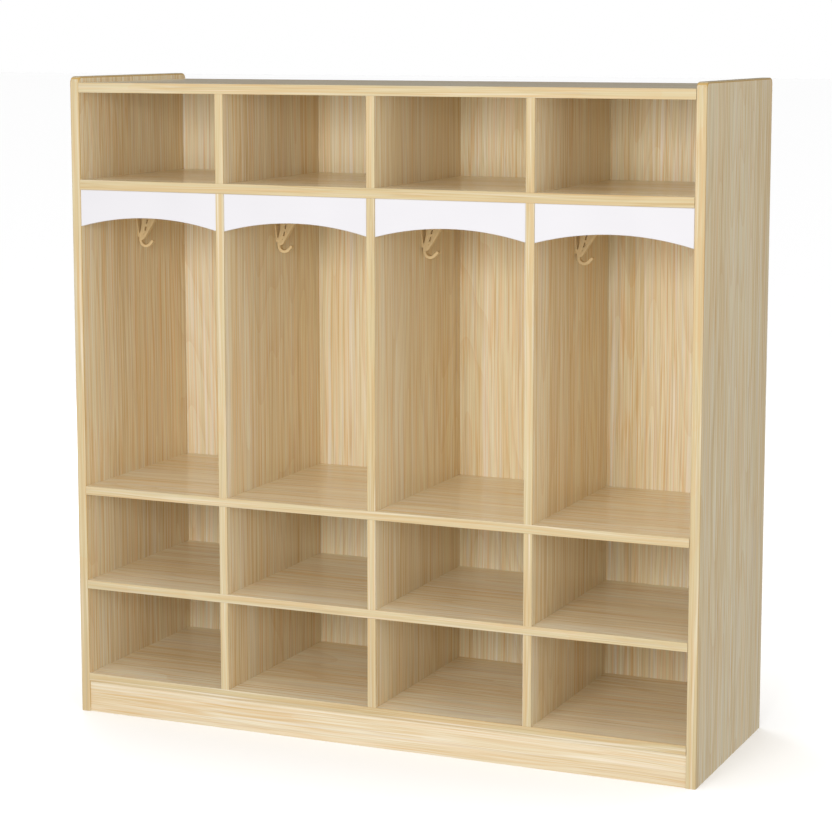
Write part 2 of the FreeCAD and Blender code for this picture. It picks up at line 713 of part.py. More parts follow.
def plate_corners():
    """The shield-shaped plate: narrow at the foot, wide at the screws, round at the top."""
    side, foot = "(plate_width / 2)", "(plate_foot_width / 2)"
    return [
        (f"-{foot}", "plate_foot"),
        (foot, "plate_foot"),
        (side, "plate_shoulder"),
        (side, "plate_top - plate_corner", "plate_corner", 1),
        (f"{side} - plate_corner", "plate_top"),
        (f"-{side} + plate_corner", "plate_top", "plate_corner", 1),
        (f"-{side}", "plate_top - plate_corner"),
        (f"-{side}", "plate_shoulder"),
    ]


def hook_pad(body, name, corners, width):
    sketch = new_sketch(body, f"{body.Name}_{name}_face", "XZ_Plane")
    outline(sketch, name, corners)
    extrude(body, "Pad", f"{body.Name}_{name}", sketch, width, midplane=True)


def coat_hook(name, at):
    body = new_body(name, at)
    half, clear = number("hook_width / 2"), number(f"{STEM_FACE} + hook_bow")
    hook_pad(body, "bar", bar_corners(), "hook_width")
    round_edges(body, name + "_bar_arris", "hook_arris",
                lambda edge: edge.BoundBox.YLength < 1e-6)
    hook_pad(body, "prong", prong_corners(), "hook_width")
    round_edges(body, name + "_prong_arris", "hook_arris",
                lambda edge: edge.BoundBox.YLength < 1e-6 and edge.BoundBox.XMax > clear
                and edge.BoundBox.ZMax > number("prong_top - prong_bar") - 1e-6
                and abs(abs(edge.BoundBox.YMin) - half) < 1e-6)
    hook_pad(body, "web", web_corners(), "hook_width - 2 * rib_set_in")
    cores = new_sketch(body, name + "_core_face", "XZ_Plane", "hook_width / 2")
    for index in range(POCKETS):
        outline(cores, f"core{index}", pocket_corners(index))
    size = number(f"{POCKETS} * pocket_width * pocket_length * pocket_depth")
    pocket(body, name + "_cores", cores, "pocket_depth", False, size)
    plate = new_sketch(body, name + "_plate_face", "YZ_Plane")
    outline(plate, "plate", plate_corners())
    extrude(body, "Pad", name + "_plate", plate, "plate_thickness")
    spots = [(f"(0 {side} hook_screw_spacing / 2)", "hook_screw_level") for side in "-+"]
    shank = "(hook_screw_radius + bore_play)"
    drill(body, "screw_holes", "YZ_Plane", spots, shank, "plate_thickness", "plate_thickness")
    mouth = "(hook_screw_head_radius + bore_play)"
    drill(body, "sinks", "YZ_Plane", spots, mouth, HOOK_HEAD_DEPTH, "plate_thickness")
    body.Tip.TaperAngle = -45
    return body


hook_places = []
for bay in range(BAYS):
    at = (bay_left(bay), f"({FRONT} + hook_from_front)", HOOK_FOOT)
    sub_parts.append(coat_hook(f"coat_hook_{bay + 1}", at))
    hook_places.append(at)


# ---- fasteners and fittings ----

def dowel(name, radius, length):
    """A wood dowel with chamfered ends, along X from its left end."""
    nose = f"{radius} - dowel_chamfer"
    return turned(name, [("0", "0"), (length, "0"), (length, nose),
                         (f"{length} - dowel_chamfer", radius),
                         ("dowel_chamfer", radius), ("0", nose)])


def cross_recess(body, face, role, reverse):
    """A cross recess in a screw's head."""
    half, arm = "recess_width / 2", "recess_span / 2"
    corners = [(half, half), (half, arm), (f"-{half}", arm), (f"-{half}", half),
               (f"-{arm}", half), (f"-{arm}", f"-{half}"), (f"-{half}", f"-{half}"),
               (f"-{half}", f"-{arm}"), (half, f"-{arm}"), (half, f"-{half}"),
               (arm, f"-{half}"), (arm, half)]
    sketch = new_sketch(body, body.Name + "_recess_face", role, face)
    outline(sketch, "cross", corners)
    size = number("recess_width * recess_span * recess_depth")
    pocket(body, body.Name + "_recess", sketch, "recess_depth", reverse, size)


long_dowel = dowel("board_dowel", "dowel_radius", "(dowel_bite + dowel_reach)")
shelf_dowel = dowel("shelf_through_dowel", "dowel_radius", "(shelf_thickness + 2 * dowel_reach)")
hat_dowel = dowel("hat_through_dowel", "dowel_radius", "(top_thickness + 2 * dowel_reach)")
thin_dowel = dowel("thin_dowel", "thin_dowel_radius", "(dowel_bite + thin_dowel_reach)")

placed = []
for _, level, thickness, _ in BOARDS:
    axis = (f"{FRONT} + {END_DOWEL}", f"{level} + {thickness} / 2")
    placed.append((long_dowel, at_point(f"{INNER_LEFT} - dowel_bite", *axis)))
    placed.append((long_dowel, at_point(f"-{INNER_LEFT} + dowel_bite", *axis, LEFT)))
sub_parts.append(group("shelf_dowels", placed))

placed = []
for index in range(BAYS - 1):
    column = f"{divider_left(index)} + divider_thickness / 2"
    for row in DIVIDER_DOWELS:
        along = f"{FRONT} + {row}"
        foot = f"{BOTTOM} + shelf_thickness - dowel_bite"
        placed.append((long_dowel, at_point(column, along, foot, UP)))
        placed.append((long_dowel, at_point(column, along, f"{TOP} - dowel_reach", UP)))
        for level in (SHOE, BAG):
            placed.append((shelf_dowel, at_point(column, along, f"{level} - dowel_reach", UP)))
        placed.append((hat_dowel, at_point(column, along, f"{HAT} - dowel_reach", UP)))
sub_parts.append(group("divider_dowels", placed))

placed = []
for level in PLINTH_DOWEL_LEVELS:
    for axis in (PLINTH_FRONT_AXIS, PLINTH_BACK_AXIS):
        along = f"{FRONT} + {axis}"
        placed.append((long_dowel, at_point(f"{INNER_LEFT} - dowel_bite", along, level)))
        placed.append((long_dowel, at_point(f"-{INNER_LEFT} + dowel_bite", along, level, LEFT)))
    near = f"{FRONT} + {BRACE_FRONT} - dowel_bite"
    far = f"{FRONT} + {BRACE_FRONT} + {BRACE_LENGTH} + dowel_bite"
    placed.append((long_dowel, at_point("0", near, level, BACKWARD)))
    placed.append((long_dowel, at_point("0", far, level, FORWARD)))
sub_parts.append(group("plinth_dowels", placed))

placed = [(thin_dowel, at_point(f"{INNER_LEFT} + {column}", f"{FRONT} + {VALANCE_AXIS}",
                                f"{HAT} - thin_dowel_reach", UP))
          for column in QUARTER_COLUMNS]
sub_parts.append(group("valance_dowels", placed))

# The cam bolt screws into the side panel and its head sits in the cam.
HEAD_START = "(cam_setback - bolt_head_length / 2)"
NECK_START = f"({HEAD_START} - bolt_neck_length)"
HEAD_END = f"({HEAD_START} + bolt_head_length)"
cam_bolt = turned("cam_bolt", [
    ("-bolt_thread_length", "0"), (HEAD_END, "0"), (HEAD_END, "bolt_shank_radius"),
    (HEAD_START, "bolt_shank_radius"), (HEAD_START, "bolt_neck_radius"),
    (NECK_START, "bolt_neck_radius"), (NECK_START, "bolt_shank_radius"),
    ("0", "bolt_shank_radius"), ("0", "bolt_thread_radius"),
    ("-bolt_thread_length", "bolt_thread_radius")])
cap = turned("cam_cap", [("0", "0"), ("cap_thickness", "0"),
                         ("cap_thickness", "cap_radius - cap_chamfer"), ("0", "cap_radius")])


def cam(name, thickness):
    """An eccentric in its bore, with a side bore for the bolt's head and a slot below."""
    body = new_body(name)
    sketch = new_sketch(body, name + "_disc", "XY_Plane")
    index = sketch.addGeometry(Part.Circle(Vector(), Vector(0, 0, 1), number("cam_radius")), False)
    sketch.addConstraint(Sketcher.Constraint("Coincident", index, 3, -1, 1))
    bind(sketch, "Radius", "radius", "cam_radius - bore_play", index)
    extrude(body, "Pad", name + "_pad", sketch, f"({thickness} / 2 + cam_above_axis - bore_play)")
    drill(body, "head_bore", "YZ_Plane", [("0", f"{thickness} / 2")],
          "(bolt_shank_radius + bore_play)", "(cam_radius + bolt_head_length / 2 + bore_gap)",
          lift="-cam_radius", reverse=True)
    slot = new_sketch(body, name + "_slot_face", "XY_Plane")
    side, reach = "cam_slot_width / 2", "cam_slot_length / 2"
    rectangle(slot, "slot", f"-{side}", f"-{reach}", side, reach)
    size = number("cam_slot_width * cam_slot_length * cam_slot_depth")
    pocket(body, name + "_slot", slot, "cam_slot_depth", True, size)
    return body


shelf_cam = cam("shelf_cam", "shelf_thickness")
top_cam = cam("top_cam", "top_thickness")
bolts, cams, caps = [], [], []
for _, level, thickness, _ in BOARDS:
    made = top_cam if thickness == "top_thickness" else shelf_cam
    for row in CAM_ROWS:
        along = f"{FRONT} + {row}"
        for side, face in ((RIGHT, INNER_LEFT), (LEFT, f"-{INNER_LEFT}")):
            toward = "+" if side == RIGHT else "-"
            column = f"{face} {toward} cam_setback"
            bolts.append((cam_bolt, at_point(face, along, f"{level} + {thickness} / 2", side)))
            turn = Rotation(UP, 0 if side == RIGHT else 180)
            place = Vector(number(column), number(along), number(level))
            cams.append((made, Placement(place, turn)))
            caps.append((cap, at_point(column, along, level, -UP)))
sub_parts.append(group("cam_bolts", bolts))
sub_parts.append(group("cam_housings", cams))
sub_parts.append(group("cam_cover_caps", caps))

# Countersunk screws hold the hooks, pan-head screws the back panel. Each lies along X from its
# head, and points away from it.
hook_screw = turned("hook_screw", [
    ("0", "0"), ("hook_screw_length", "0"), ("hook_screw_length - screw_tip", "hook_screw_radius"),
    (HOOK_HEAD_DEPTH, "hook_screw_radius"), ("0", "hook_screw_head_radius")])
cross_recess(hook_screw, "0", "YZ_Plane", True)
back_screw = turned("back_screw", [
    ("-back_screw_head_height", "0"), ("back_screw_length", "0"),
    ("back_screw_length - screw_tip", "back_screw_radius"), ("0", "back_screw_radius"),
    ("0", "back_screw_head_radius"), ("-back_screw_head_height / 2", "back_screw_head_radius"),
    ("-back_screw_head_height", "back_screw_head_radius - back_screw_head_height / 2")])
cross_recess(back_screw, "-back_screw_head_height", "YZ_Plane", True)

placed = []
for across, _, up in hook_places:
    for row in HOOK_SCREWS:
        placed.append((hook_screw, at_point(f"{across} + plate_thickness", f"{FRONT} + {row}",
                                            f"{up} + hook_screw_level", LEFT)))
sub_parts.append(group("hook_screws", placed))

placed = [(back_screw, at_point(f"{INNER_LEFT} + {column}", f"{FRONT} + {BACK_FACE} + back_thickness",
                                level, FORWARD))
          for column, level in back_screw_places]
sub_parts.append(group("back_panel_screws", placed))


# ---- checks and files ----

doc.recompute()
for item in doc.Objects:
    if "Invalid" in item.State or "Error" in item.State:
        raise RuntimeError(f"{item.Name} is {item.State}")
for piece in sub_parts:
    if piece.Shape.isNull() or not piece.Shape.isValid() or not piece.Shape.Solids:
        raise RuntimeError(f"{piece.Label} has no sound shape")
for piece in sub_parts:
    piece.Shape.exportStep(f"parts/{piece.Label}.step")
    box = piece.Shape.BoundBox
    print(f"{piece.Label:32s} {len(piece.Shape.Solids):3d} solids  {piece.Shape.Volume:12.0f} mm3  "
          f"x {box.XMin:.1f}..{box.XMax:.1f}  y {box.YMin:.1f}..{box.YMax:.1f}  "
          f"z {box.ZMin:.1f}..{box.ZMax:.1f}")
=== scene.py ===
import math

import bmesh
import bpy
from mathutils import Matrix, Vector


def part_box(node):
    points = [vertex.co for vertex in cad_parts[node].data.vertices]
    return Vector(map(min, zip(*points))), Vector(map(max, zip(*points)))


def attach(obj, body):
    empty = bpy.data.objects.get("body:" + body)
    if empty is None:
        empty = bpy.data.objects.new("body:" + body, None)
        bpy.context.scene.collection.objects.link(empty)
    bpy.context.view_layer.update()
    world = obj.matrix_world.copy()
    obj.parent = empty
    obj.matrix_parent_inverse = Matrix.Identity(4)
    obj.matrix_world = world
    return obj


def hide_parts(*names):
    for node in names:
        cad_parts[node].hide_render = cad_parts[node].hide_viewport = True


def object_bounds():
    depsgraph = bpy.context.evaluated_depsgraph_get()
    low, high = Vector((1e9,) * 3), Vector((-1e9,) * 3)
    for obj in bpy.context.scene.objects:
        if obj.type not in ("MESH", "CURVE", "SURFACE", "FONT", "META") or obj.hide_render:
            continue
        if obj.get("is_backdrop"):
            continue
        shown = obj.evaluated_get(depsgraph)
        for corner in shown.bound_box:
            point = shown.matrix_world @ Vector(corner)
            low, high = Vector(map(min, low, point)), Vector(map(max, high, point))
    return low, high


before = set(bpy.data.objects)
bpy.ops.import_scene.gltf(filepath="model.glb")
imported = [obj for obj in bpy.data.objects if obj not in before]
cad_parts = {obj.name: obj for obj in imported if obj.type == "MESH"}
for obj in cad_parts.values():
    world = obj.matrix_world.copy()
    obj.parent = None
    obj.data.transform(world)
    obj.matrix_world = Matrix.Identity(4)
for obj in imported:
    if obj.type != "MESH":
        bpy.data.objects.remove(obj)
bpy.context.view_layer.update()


# ---- side panels ----
# The two full-height sides are 18 mm chipboard pressed between two sheets of melamine paper
# printed with a pale, straight-grained pine. They are cut on a panel saw and drilled on their
# inner faces for the bolts and dowels of every board that ends there.

MM = 0.001
# the mix node's colour sockets go by number, because its other kinds have the same names
SHARE, UNDER, OVER, MIXED = 0, 6, 7, 2


def linear(code):
    """An sRGB hex colour as linear red, green, blue and full alpha."""
    parts = [int(code[start:start + 2], 16) / 255 for start in (1, 3, 5)]
    return [p / 12.92 if p <= 0.04045 else ((p + 0.055) / 1.055) ** 2.4 for p in parts] + [1.0]


def add(material, kind, inputs=None, stops=(), **settings):
    """Adds one shader node, sets its properties, and fills or links its inputs. The stops are a
    colour ramp's, each a place from 0 to 1 and a hex colour."""
    made = material.node_tree.nodes.new("ShaderNode" + kind)
    for name, value in settings.items():
        setattr(made, name, value)
    for _ in stops[2:]:
        made.color_ramp.elements.new(1)
    for element, (place, code) in zip(made.color_ramp.elements if stops else (), stops):
        element.position = place
        element.color = linear(code)
    for name, value in (inputs or {}).items():
        if isinstance(value, bpy.types.NodeSocket):
            material.node_tree.links.new(value, made.inputs[name])
        else:
            made.inputs[name].default_value = value
    return made


def new_material(name):
    """An empty material, and the object's own coordinates in it."""
    material = bpy.data.materials.new(name)
    material.use_nodes = True
    material.node_tree.nodes.clear()
    coordinates = add(material, "TexCoord").outputs["Object"]
    return material, coordinates


def finish(material, colour, roughness, height=None, depth=0.0, metallic=0.0):
    """Closes a material with its one shader. The relief's depth is in metres."""
    inputs = {"Base Color": colour, "Roughness": roughness, "Metallic": metallic}
    if height is not None:
        bump = add(material, "Bump", {"Strength": 1.0, "Distance": depth, "Height": height})
        inputs["Normal"] = bump.outputs["Normal"]
    shader = add(material, "BsdfPrincipled", inputs)
    add(material, "OutputMaterial", {"Surface": shader.outputs["BSDF"]})
    return material


def streaks(material, along_z, width, length, detail, offset):
    """Noise drawn out along the grain: width and length are one streak's, in metres, and the
    offset keeps it from lying over the others."""
    stretched = add(material, "Mapping", {"Vector": along_z, "Location": (offset, offset, offset),
                                          "Scale": (1 / width, 1 / width, 1 / length)})
    noise = add(material, "TexNoise", {"Vector": stretched.outputs["Vector"], "Scale": 1.0,
                                       "Detail": detail, "Roughness": 0.55})
    return noise.outputs[0]


BOARD_INKS = ("#dcc095", "#ead8b4", "#f0e4c9", "#f6eedb")
INK_LEVELS = (0.42, 0.53, 0.62, 0.74)
RESIN_INK, SAPWOOD_INK = "#d2a468", "#f3ebde"
# how far the next sheet's print lies from this one's, in metres
NEXT_SHEET = (0.37, 0.53, 0.71)
WANDER, WANDER_LENGTH = 12 * MM, 400 * MM
# Each pattern has a streak's width and length, its detail and its offset. The three tones are
# broad planks, growth streaks and fibres. Real fibres are some 0.5 mm wide and are drawn 1.6 mm
# wide so that they show.
TONES = ((60 * MM, 2600 * MM, 1.0, 0.0), (5 * MM, 800 * MM, 3.0, 3.7),
         (1.6 * MM, 220 * MM, 2.0, 8.1))
TONE_SHARES, TONE_START = (0.28, 0.42, 0.54), -0.055
TINT_STREAKS, TINT_SHARE = (3.2 * MM, 520 * MM, 2.0, 41.7), 0.8
TINTS = ((0.38, "#ffecd2"), (0.48, "#fffdf2"), (0.56, "#fdfff4"), (0.66, "#f4f3fb"))
RINGS, RING_COUNT = (150 * MM, 1500 * MM, 1.0, 31.3), 24.0
LATEWOOD_FROM, LATEWOOD_SHARE = 0.55, 0.20
# brown-orange resin lines and pale sapwood lines, with the noise levels between which each comes
# in and its share at the full
LINES = ((RESIN_INK, (4.5 * MM, 380 * MM, 1.0, 13.3), 0.60, 0.74, 0.55),
         (SAPWOOD_INK, (5 * MM, 600 * MM, 1.0, 21.9), 0.58, 0.72, 0.6))


def pine_print(material, coordinates, grain, sheet, inks, figure=1.0):
    """The printed pattern's colour and its fine relief. grain is the axis that it runs along,
    sheet says which part of the printed roll the board was cut from, and figure how strongly
    the lines and arches show."""
    turn = (0, math.pi / 2, 0) if grain == "X" else (0, 0, 0)
    laid = add(material, "Mapping", {"Vector": coordinates, "Rotation": turn,
                                     "Location": [sheet * step for step in NEXT_SHEET]})
    # the grain wanders half of WANDER to either side
    sway = add(material, "TexNoise", {"Vector": laid.outputs["Vector"],
                                      "Scale": 1 / WANDER_LENGTH, "Detail": 1.0})
    wander = add(material, "VectorMath", {0: sway.outputs["Color"], 1: (WANDER, WANDER, 0.0)},
                 operation="MULTIPLY")
    along = add(material, "VectorMath", {0: laid.outputs["Vector"], 1: wander.outputs[0]},
                operation="ADD").outputs[0]

    levels = [streaks(material, along, *pattern) for pattern in TONES]
    tone = TONE_START
    for level, share in zip(levels, TONE_SHARES):
        tone = add(material, "Math", {0: level, 1: share, 2: tone},
                   operation="MULTIPLY_ADD").outputs[0]
    colour = add(material, "ValToRGB", {"Fac": tone},
                 stops=tuple(zip(INK_LEVELS, inks))).outputs["Color"]

    # the rolls' inks drift, so that some streaks print warmer and some cooler
    drift = streaks(material, along, *TINT_STREAKS)
    tint = add(material, "ValToRGB", {"Fac": drift}, stops=TINTS).outputs["Color"]
    colour = add(material, "Mix", {SHARE: TINT_SHARE * figure, UNDER: colour, OVER: tint},
                 data_type="RGBA", blend_type="MULTIPLY").outputs[MIXED]

    # the flat-sawn figure: growth rings met at a shallow angle draw long pointed arches
    rings = streaks(material, along, *RINGS)
    ring = add(material, "Math", {0: rings, 1: RING_COUNT}, operation="MULTIPLY")
    ring = add(material, "Math", {0: ring.outputs[0]}, operation="FRACT")
    arch = add(material, "MapRange", {"Value": ring.outputs[0], "From Min": LATEWOOD_FROM,
                                      "From Max": 1.0, "To Min": 0.0,
                                      "To Max": LATEWOOD_SHARE * figure}).outputs["Result"]
    colour = add(material, "Mix", {SHARE: arch, UNDER: colour, OVER: linear(RESIN_INK)},
                 data_type="RGBA").outputs[MIXED]

    for ink, pattern, faint, full, share in LINES:
        level = streaks(material, along, *pattern)
        line = add(material, "MapRange", {"Value": level, "From Min": faint, "From Max": full,
                                          "To Min": 0.0, "To Max": share * figure})
        colour = add(material, "Mix", {SHARE: line.outputs["Result"], UNDER: colour,
                                       OVER: linear(ink)}, data_type="RGBA").outputs[MIXED]
    fibres = levels[-1]
    return colour, fibres


PAPER, CHIP = 0.25 * MM, 2.2 * MM
CHIP_STOPS = ((0.1, "#7d5f3c"), (0.5, "#a98a5e"), (0.9, "#c9b184"))
SATIN, CORE_ROUGHER, PRINT_RELIEF = (0.16, 0.28), 0.5, 0.04 * MM


def melamine_board(name, grain, sheet, inks=BOARD_INKS, figure=1.0):
    """Melamine-faced chipboard: a satin printed skin, and raw particles on every sawn edge."""
    low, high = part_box(name)
    size = high - low
    thin = min(range(3), key=lambda axis: size[axis])
    material, coordinates = new_material("melamine_faced_chipboard_" + name)
    colour, relief = pine_print(material, coordinates, grain, sheet, inks, figure)

    # wood particles, 1 to 3 mm, in the core
    flakes = add(material, "TexVoronoi", {"Vector": coordinates, "Scale": 1 / CHIP})
    chips = add(material, "ValToRGB", {"Fac": flakes.outputs["Color"]},
                stops=CHIP_STOPS).outputs["Color"]
    split = add(material, "SeparateXYZ", {"Vector": coordinates})
    middle = add(material, "Math", {0: split.outputs[thin], 1: (low[thin] + high[thin]) / 2},
                 operation="SUBTRACT")
    depth = add(material, "Math", {0: middle.outputs[0]}, operation="ABSOLUTE")
    core = add(material, "Math", {0: depth.outputs[0], 1: size[thin] / 2 - PAPER},
               operation="LESS_THAN").outputs[0]
    colour = add(material, "Mix", {SHARE: core, UNDER: colour, OVER: chips},
                 data_type="RGBA").outputs[MIXED]

    satin = add(material, "MapRange", {"Value": relief, "To Min": SATIN[0], "To Max": SATIN[1]})
    rough = add(material, "Math", {0: core, 1: CORE_ROUGHER, 2: satin.outputs["Result"]},
                operation="MULTIPLY_ADD")
    finish(material, colour, rough.outputs[0], relief, PRINT_RELIEF)
    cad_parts[name].material_slots[0].material = material


for sheet, name in enumerate(("left_side_panel", "right_side_panel")):
    melamine_board(name, "Z", 1 + sheet)


# ---- side panel banding ----
# A 3 mm ABS band is hot-glued up the front edge, bent over the rounded top corners and run down
# the back. Its face carries the same print, and where the edges are scraped round the plastic's
# own honey colour shows as a thin line.

BAND_INKS = ("#ba9d6c", "#cbb78f", "#d2c19c", "#dbceb4")
PLAIN_INK, PLAIN_SHARE = BAND_INKS[2], 0.3
HONEY_ABS = "#cba560"
SIDE_CORNER, SCRAPED_TO = 12 * MM, 1.4 * MM
BAND_ROUGHNESS, BAND_RELIEF = 0.3, 0.02 * MM


def abs_band(name, grain, sheet):
    """Printed ABS edging, plainer than the board and evenly satin."""
    material, coordinates = new_material("abs_edge_band_" + name)
    colour, relief = pine_print(material, coordinates, grain, sheet, BAND_INKS)
    colour = add(material, "Mix", {SHARE: PLAIN_SHARE, UNDER: colour, OVER: linear(PLAIN_INK)},
                 data_type="RGBA").outputs[MIXED]
    low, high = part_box(name)
    if "side" in name:
        # the plastic's body shows from SCRAPED_TO behind the outer face inwards, all round
        middle, half = (low + high) / 2, (high - low) / 2
        placed = add(material, "VectorMath", {0: coordinates, 1: tuple(middle)},
                     operation="SUBTRACT")
        placed = add(material, "VectorMath", {0: placed.outputs[0]}, operation="ABSOLUTE")
        inset = add(material, "VectorMath", {0: tuple(half), 1: placed.outputs[0]},
                    operation="SUBTRACT")
        split = add(material, "SeparateXYZ", {"Vector": inset.outputs[0]})
        round_top = add(material, "Math", {0: split.outputs["Y"], 1: split.outputs["Z"],
                                           2: SIDE_CORNER}, operation="SMOOTH_MIN")
        body = add(material, "Math", {0: round_top.outputs[0], 1: SCRAPED_TO},
                   operation="GREATER_THAN")
        colour = add(material, "Mix", {SHARE: body.outputs[0], UNDER: colour,
                                       OVER: linear(HONEY_ABS)},
                     data_type="RGBA").outputs[MIXED]
    finish(material, colour, BAND_ROUGHNESS, relief, BAND_RELIEF)
    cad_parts[name].material_slots[0].material = material


for sheet, name in enumerate(("left_side_edge_band", "right_side_edge_band")):
    abs_band(name, "Z", 5 + sheet)


# ---- dowels ----
# Turned beech dowels with chamfered ends, knocked into glued holes. They locate every board
# before the fittings pull it tight, and stay hidden once the unit stands.

BEECH_STOPS = ((0.35, "#b98f62"), (0.6, "#d2ac80"))
BEECH_LINES, RAY_FLECKS = (1.2 * MM, 60 * MM, 2.0, 5.2), (0.8 * MM, 4 * MM, 1.0, 0.0)
RAY_INK, RAY_FROM, RAY_FULL, RAY_SHARE = "#8d6238", 0.6, 0.7, 0.5
BEECH_ROUGHNESS, BEECH_RELIEF = 0.62, 0.05 * MM


def beech_dowels(name, grain):
    """Pale pinkish beech, with the short dark flecks of its rays."""
    material, coordinates = new_material("turned_beech_" + name)
    turn = {"X": (0, math.pi / 2, 0), "Y": (math.pi / 2, 0, 0), "Z": (0, 0, 0)}[grain]
    laid = add(material, "Mapping", {"Vector": coordinates, "Rotation": turn}).outputs["Vector"]
    fleck = streaks(material, laid, *RAY_FLECKS)
    grain_lines = streaks(material, laid, *BEECH_LINES)
    colour = add(material, "ValToRGB", {"Fac": grain_lines}, stops=BEECH_STOPS).outputs["Color"]
    ray = add(material, "MapRange", {"Value": fleck, "From Min": RAY_FROM, "From Max": RAY_FULL,
                                     "To Min": 0.0, "To Max": RAY_SHARE}).outputs["Result"]
    colour = add(material, "Mix", {SHARE: ray, UNDER: colour, OVER: linear(RAY_INK)},
                 data_type="RGBA").outputs[MIXED]
    finish(material, colour, BEECH_ROUGHNESS, grain_lines, BEECH_RELIEF)
    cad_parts[name].material_slots[0].material = material


for name, grain in (("plinth_dowels", "X"), ("shelf_dowels", "X"), ("divider_dowels", "Z"),
                    ("valance_dowels", "Z")):
    beech_dowels(name, grain)


# ---- plinth ----
# A kickboard, a back rail and one brace, all of the same board, dowelled together and to the
# sides before the bottom board goes on.

PLINTH_INKS, PLINTH_FIGURE = ("#d2b484", "#dac4a0", "#e1d1b3", "#e9dfca"), 0.5
for sheet, name in enumerate(("plinth_front", "plinth_back")):
    melamine_board(name, "X", 9 + sheet, PLINTH_INKS, PLINTH_FIGURE)
melamine_board("plinth_brace", "Z", 11)


# ---- horizontal boards ----
# Five boards run from side to side, 18 mm thick for the top two and 16 mm for the rest. They
# are cut along the grain and banded in front with 2 mm ABS.

LEVELS = ("bottom_board", "shoe_shelf", "bag_shelf", "hat_shelf", "top_board")
SHELF_INKS = ("#e3cba4", "#efe0c2", "#f4ead4", "#f8f2e3")
for sheet, name in enumerate(LEVELS):
    melamine_board(name, "X", 13 + sheet, SHELF_INKS)
    abs_band(name + "_edge_band", "X", 19 + sheet)


# ---- cam fittings ----
# A zinc-plated steel bolt screws into the side panel, a die-cast zinc eccentric in the board's
# underside draws its head in, and a push-in ABS cap in the board's colour covers the bore.

ZINC_BLUE, ZINC_CLOUD, ZINC_SCRATCH = "#b4b9c1", 3 * MM, 0.35 * MM


def plated_steel(name, cloud_tint):
    """Bright zinc on steel: bluish, faintly clouded, and finely scratched from the barrel."""
    material, coordinates = new_material("zinc_plated_steel_" + name)
    cloud = add(material, "TexNoise", {"Vector": coordinates, "Scale": 1 / ZINC_CLOUD,
                                       "Detail": 3.0}).outputs[0]
    scratch = add(material, "TexNoise", {"Vector": coordinates, "Scale": 1 / ZINC_SCRATCH,
                                         "Detail": 1.0}).outputs[0]
    colour = add(material, "Mix", {SHARE: cloud, UNDER: linear(ZINC_BLUE),
                                   OVER: linear(cloud_tint)}, data_type="RGBA").outputs[MIXED]
    rough = add(material, "MapRange", {"Value": cloud, "To Min": 0.24, "To Max": 0.42})
    finish(material, colour, rough.outputs["Result"], scratch, 0.006 * MM, metallic=1.0)
    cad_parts[name].material_slots[0].material = material


CAST_GREY, CAST_PALE, CAST_PEEL, CAST_PATCH = "#8b8e92", "#a9abad", 0.9 * MM, 5 * MM


def cast_zinc(name):
    """Die-cast zinc: dull grey, with the die's fine orange peel and darker patches."""
    material, coordinates = new_material("die_cast_zinc_" + name)
    peel = add(material, "TexNoise", {"Vector": coordinates, "Scale": 1 / CAST_PEEL,
                                      "Detail": 2.0}).outputs[0]
    patch = add(material, "TexNoise", {"Vector": coordinates, "Scale": 1 / CAST_PATCH,
                                       "Detail": 2.0}).outputs[0]
    colour = add(material, "Mix", {SHARE: patch, UNDER: linear(CAST_GREY),
                                   OVER: linear(CAST_PALE)}, data_type="RGBA").outputs[MIXED]
    rough = add(material, "MapRange", {"Value": peel, "To Min": 0.42, "To Max": 0.6})
    finish(material, colour, rough.outputs["Result"], peel, 0.03 * MM, metallic=1.0)
    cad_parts[name].material_slots[0].material = material


CAP_HONEY, CAP_PALE, CAP_GRIT, CAP_SWIRL = "#d6bd8c", "#dec99d", 0.5 * MM, 9 * MM


def cap_abs(name):
    """Moulded ABS in the board's colour, with a fine matt grain and the faint swirl of its dye."""
    material, coordinates = new_material("moulded_honey_abs_" + name)
    grit = add(material, "TexNoise", {"Vector": coordinates, "Scale": 1 / CAP_GRIT,
                                      "Detail": 2.0}).outputs[0]
    swirl = add(material, "TexNoise", {"Vector": coordinates, "Scale": 1 / CAP_SWIRL,
                                       "Detail": 1.0, "Distortion": 1.0}).outputs[0]
    colour = add(material, "Mix", {SHARE: swirl, UNDER: linear(CAP_HONEY),
                                   OVER: linear(CAP_PALE)}, data_type="RGBA").outputs[MIXED]
    rough = add(material, "MapRange", {"Value": grit, "To Min": 0.4, "To Max": 0.55})
    finish(material, colour, rough.outputs["Result"], grit, 0.02 * MM)
    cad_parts[name].material_slots[0].material = material


plated_steel("cam_bolts", "#c6c4b4")
cast_zinc("cam_housings")
cap_abs("cam_cover_caps")


# ---- uprights ----
# Three short uprights stand between each pair of boards, with their grain upright and their
# front edges banded.

ROWS = ("lower_shoe_divider", "upper_shoe_divider", "bay_divider", "top_divider")
for row, name in enumerate(ROWS):
    for index in (1, 2, 3):
        melamine_board(f"{name}_{index}", "Z", 25 + 3 * row + index)
    abs_band(name + "_edge_bands", "Z", 40 + row)


# ---- back panel ----
# One 5 mm sheet, faced with the same print on a paler roll. It slides into grooves all round
# and keeps the unit square.

BACK_INKS = ("#dcc69c", "#e8daba", "#eee3ca", "#f4ede0")
melamine_board("back_panel", "Z", 47, BACK_INKS)


# ---- back panel screws ----
# Pan-head steel screws, zinc-plated, run through the sheet into the back edges of the shelves,
# so that neither bows away from the other.

plated_steel("back_panel_screws", "#c9c5ae")


# ---- valances ----
# Four white boards close the tops of the coat bays. Each is MDF, sawn to an arch along its lower
# edge, rounded over with a router and sprayed with satin white lacquer.

VALANCE_RISE = 18.5 * MM
VALANCE_ARRIS = 1.2 * MM
DEGREES_A_STEP, LEAST_STEPS = 2, 6
TOUCHING = 1e-6


